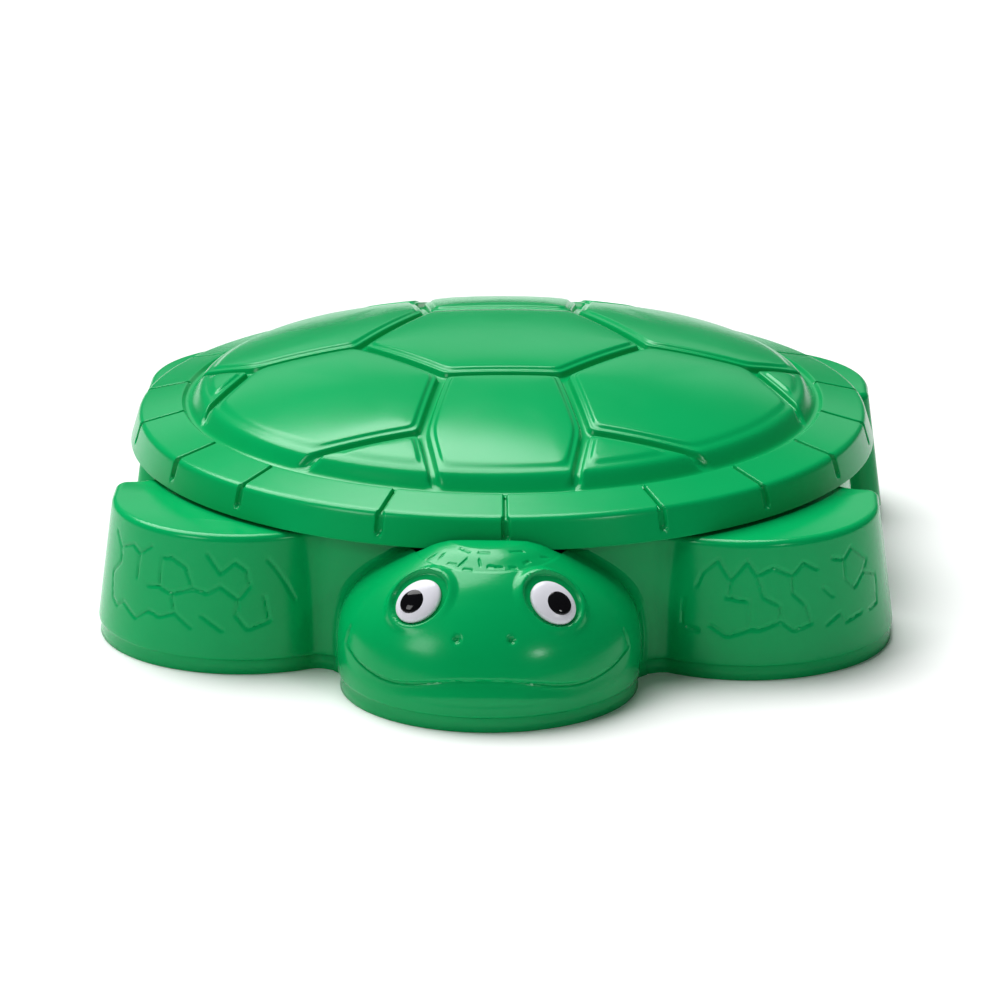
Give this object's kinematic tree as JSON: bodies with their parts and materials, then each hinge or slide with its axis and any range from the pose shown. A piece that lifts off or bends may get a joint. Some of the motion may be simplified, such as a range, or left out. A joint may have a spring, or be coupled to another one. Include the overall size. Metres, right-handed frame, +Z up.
{
  "type": "sandbox with cover",
  "caption": "Low turtle-shaped sandbox in moulded plastic with a domed lift-off cover, foot-shaped corner seats and a smiling head with inset eyes.",
  "frame": {"origin": "on the ground under the middle of the round sand pan and cover", "axes": "+Z up, -Y towards the head, +X towards the turtle's left-hand feet"},
  "size_m": [0.984, 1.0979, 0.303],
  "materials": {
    "green_plastic": "satin-gloss moulded polyethylene",
    "eye_white": "gloss",
    "pupil_black": "gloss",
    "washer_steel": "plain"
  },
  "bodies": {
    "base": {"base_tub": "green_plastic", "left_eye_white": "eye_white", "left_pupil": "pupil_black", "left_eye_washer": "washer_steel", "right_eye_white": "eye_white", "right_pupil": "pupil_black", "right_eye_washer": "washer_steel"},
    "cover": {"cover": "green_plastic"}
  },
  "joints": [
    {"name": "cover_lift", "type": "slide", "parent": "base", "child": "cover", "axis": [0, 0, 1], "range_m": [0, 0.3]}
  ]
}
